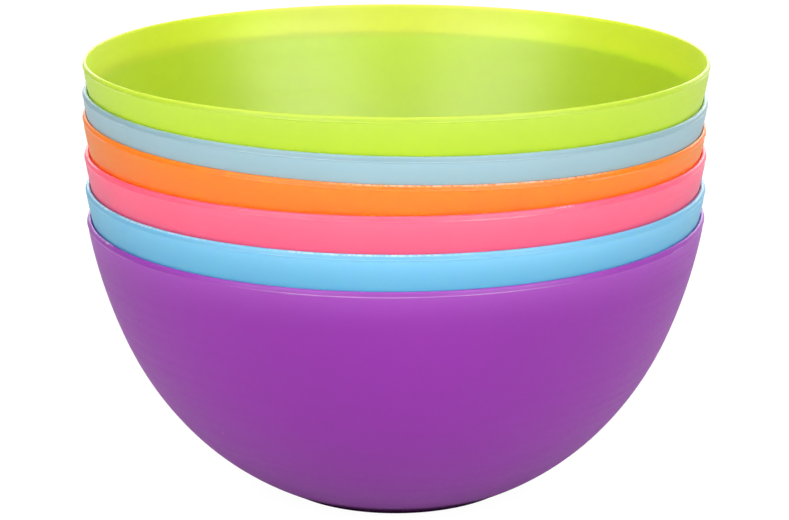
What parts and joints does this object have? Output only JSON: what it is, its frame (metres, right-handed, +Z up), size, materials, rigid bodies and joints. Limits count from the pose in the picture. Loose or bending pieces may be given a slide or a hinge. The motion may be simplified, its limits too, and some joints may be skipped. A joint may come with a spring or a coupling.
{
  "type": "nested mixing bowls",
  "caption": "Nest of round, thin-walled translucent plastic mixing bowls for hair colour, with rounded rims and low foot rings; each lifts straight out of the one below.",
  "frame": {"origin": "centre of the bottom bowl's foot ring, on the surface that the nest stands on", "axes": "+Z up through the middle of the nest, -Y to the front, +X to the right seen from the front"},
  "size_m": [0.1525, 0.153, 0.1082],
  "materials": {
    "plastic_purple": "translucent injection-moulded polypropylene, satin gloss",
    "plastic_blue": "translucent injection-moulded polypropylene, satin gloss",
    "plastic_pink": "translucent injection-moulded polypropylene, satin gloss",
    "plastic_orange": "translucent injection-moulded polypropylene, satin gloss",
    "plastic_pale": "translucent injection-moulded polypropylene, satin gloss",
    "plastic_lime": "translucent injection-moulded polypropylene, satin gloss"
  },
  "bodies": {
    "bowl_purple": {"bowl_purple": "plastic_purple"},
    "bowl_blue": {"bowl_blue": "plastic_blue"},
    "bowl_pink": {"bowl_pink": "plastic_pink"},
    "bowl_orange": {"bowl_orange": "plastic_orange"},
    "bowl_pale": {"bowl_pale": "plastic_pale"},
    "bowl_lime": {"bowl_lime": "plastic_lime"}
  },
  "joints": [
    {"name": "lift_blue", "type": "slide", "parent": "bowl_purple", "child": "bowl_blue", "axis": [0, 0, 1], "range_m": [0, 0.075]},
    {"name": "lift_pink", "type": "slide", "parent": "bowl_blue", "child": "bowl_pink", "axis": [0, 0, 1], "range_m": [0, 0.075]},
    {"name": "lift_orange", "type": "slide", "parent": "bowl_pink", "child": "bowl_orange", "axis": [0, 0, 1], "range_m": [0, 0.075]},
    {"name": "lift_pale", "type": "slide", "parent": "bowl_orange", "child": "bowl_pale", "axis": [0, 0, 1], "range_m": [0, 0.075]},
    {"name": "lift_lime", "type": "slide", "parent": "bowl_pale", "child": "bowl_lime", "axis": [0, 0, 1], "range_m": [0, 0.075]}
  ]
}
